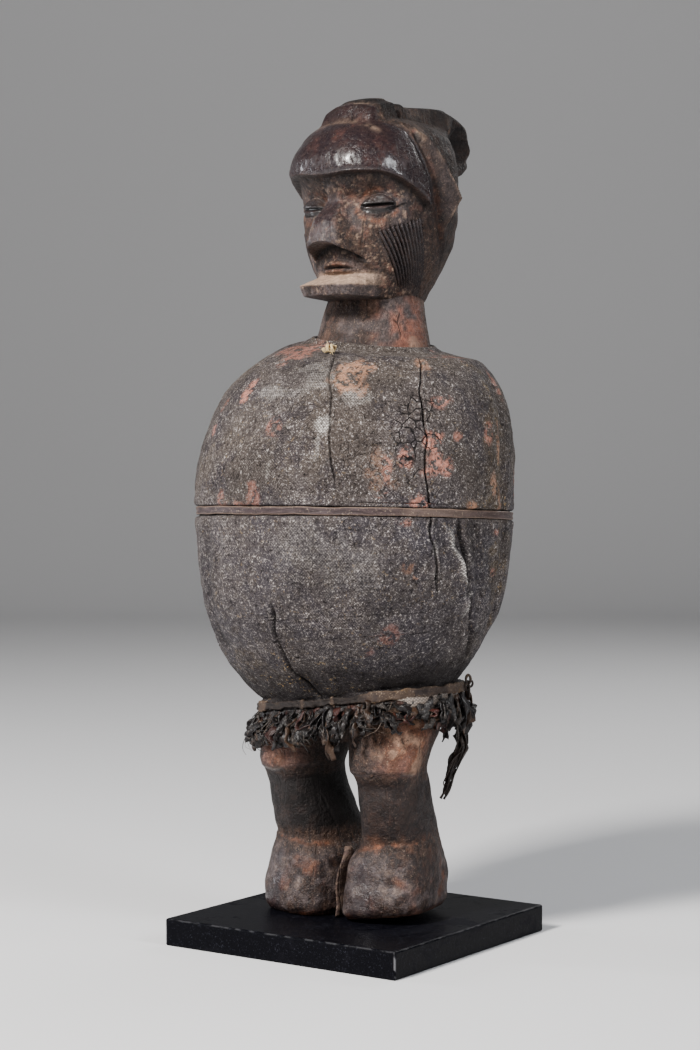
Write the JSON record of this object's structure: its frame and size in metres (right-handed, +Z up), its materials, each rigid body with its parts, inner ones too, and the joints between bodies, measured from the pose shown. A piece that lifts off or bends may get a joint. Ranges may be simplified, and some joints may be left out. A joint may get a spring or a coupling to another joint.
{
  "type": "teke power figure",
  "caption": "Carved wooden standing figure with a crested head and plate beard, its torso wrapped in a stuffed bundle of coarse cloth, on a square display plinth.",
  "frame": {"origin": "centre of the plinth's underside", "axes": "+Z up along the figure, the figure faces -Y, its own left hand side is +X"},
  "size_m": [0.148, 0.1437, 0.3881],
  "materials": {
    "carved_wood": "dark handled patina, glossy on the forehead, worn red-brown on edges",
    "coarse_cloth": "coarse plain weave, encrusted grey-brown, stained pink and orange",
    "dark_strip": "dark purple-brown strip with paler worn edges",
    "straw_tie": "flat twisted fibre, ochre under dirt",
    "straw_knot": "dry straw-coloured fibre",
    "black_paint": "satin black paint on board"
  },
  "bodies": {
    "root": {"figure": "carved_wood", "cloth_wrapping": "coarse_cloth", "waist_strip": "dark_strip", "lower_tie": "straw_tie", "seam_knot": "straw_knot", "plinth": "black_paint"}
  },
  "joints": []
}
